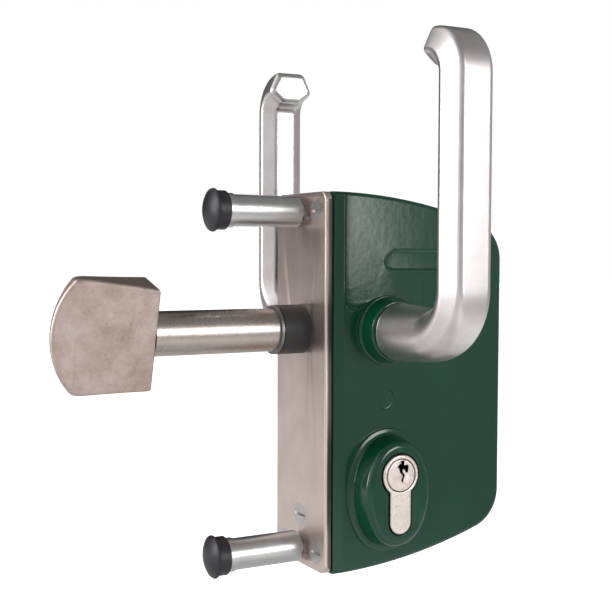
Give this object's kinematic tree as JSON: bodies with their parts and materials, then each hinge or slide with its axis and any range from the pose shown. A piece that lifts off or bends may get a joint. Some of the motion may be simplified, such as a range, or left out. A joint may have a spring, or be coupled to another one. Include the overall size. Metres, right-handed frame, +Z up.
{
  "type": "sliding gate lock",
  "caption": "Surface-mounted gate lock: arched green case on a steel faceplate, lever handles on both sides, euro cylinder in an oval collar and a turning hammer-head hook on a round rod.",
  "frame": {"origin": "on the faceplate's gate side face, on the axis of the hook rod", "axes": "+X from the gate profile into the case, so the hook points to -X; +Y from the front handle to the rear one; +Z up"},
  "size_m": [0.195, 0.167, 0.2185],
  "materials": {
    "stainless_plate": "brushed",
    "green_coat": "satin powder coat",
    "zinc_steel": "zinc plated",
    "black_plastic": "matte",
    "bearing_plastic": "matte",
    "satin_steel": "blasted satin",
    "spring_steel": "oiled",
    "gear_steel": "machined",
    "satin_aluminium": "satin anodised",
    "nickel": "nickel plated, satin"
  },
  "bodies": {
    "housing": {"faceplate": "stainless_plate", "front_case": "green_coat", "rear_cover": "green_coat", "plate_screws": "zinc_steel", "cover_screws": "zinc_steel", "cylinder_screw": "zinc_steel", "fixing_bolts": "zinc_steel", "fixing_nuts": "zinc_steel", "fixing_caps": "black_plastic", "rod_bush": "bearing_plastic", "front_handle_bush": "bearing_plastic", "rear_handle_bush": "bearing_plastic", "cylinder_body": "nickel", "guide_pins": "gear_steel", "return_spring": "spring_steel"},
    "handle": {"follower": "gear_steel", "handle_spindle": "zinc_steel", "front_handle": "satin_aluminium", "rear_handle": "satin_aluminium", "handle_screws": "zinc_steel"},
    "hook": {"hook_rod": "satin_steel", "rod_circlip": "spring_steel", "hook_head": "satin_steel", "hook_head_screw": "zinc_steel", "rod_gear": "gear_steel", "rod_gear_pin": "gear_steel"},
    "front_keyway": {"front_plug": "nickel"},
    "rear_keyway": {"rear_plug": "nickel"},
    "cam": {"cylinder_cam": "gear_steel"},
    "slide": {"locking_slide": "gear_steel"}
  },
  "joints": [
    {"name": "handle_turn", "type": "hinge", "parent": "housing", "child": "handle", "pos_m": [0.0285, 0, 0], "axis": [0, 1, 0], "range_deg": [0, 90], "stiffness_Nm_per_rad": 0.8, "springref_deg": -17.19, "deforming": ["return_spring"]},
    {"name": "hook_turn", "type": "hinge", "parent": "housing", "child": "hook", "pos_m": [0, 0, 0], "axis": [1, 0, 0], "range_deg": [0, 90]},
    {"name": "front_plug_turn", "type": "hinge", "parent": "housing", "child": "front_keyway", "pos_m": [0.0285, 0, -0.0588], "axis": [0, -1, 0], "range_deg": [0, 68]},
    {"name": "cam_turn", "type": "hinge", "parent": "housing", "child": "cam", "pos_m": [0.0285, 0, -0.0588], "axis": [0, -1, 0], "range_deg": [0, 68]},
    {"name": "slide_lift", "type": "slide", "parent": "housing", "child": "slide", "axis": [0, 0, 1], "range_m": [0, 0.01566]},
    {"name": "rear_plug_turn", "type": "hinge", "parent": "housing", "child": "rear_keyway", "pos_m": [0.0285, 0, -0.0588], "axis": [0, -1, 0], "range_deg": [0, 68]}
  ],
  "couplings": [
    {"joint": "hook_turn", "follows": "handle_turn", "ratio": 1},
    {"joint": "front_plug_turn", "follows": "slide_lift", "rad_per_m": 75.786},
    {"joint": "cam_turn", "follows": "slide_lift", "rad_per_m": 75.786}
  ]
}
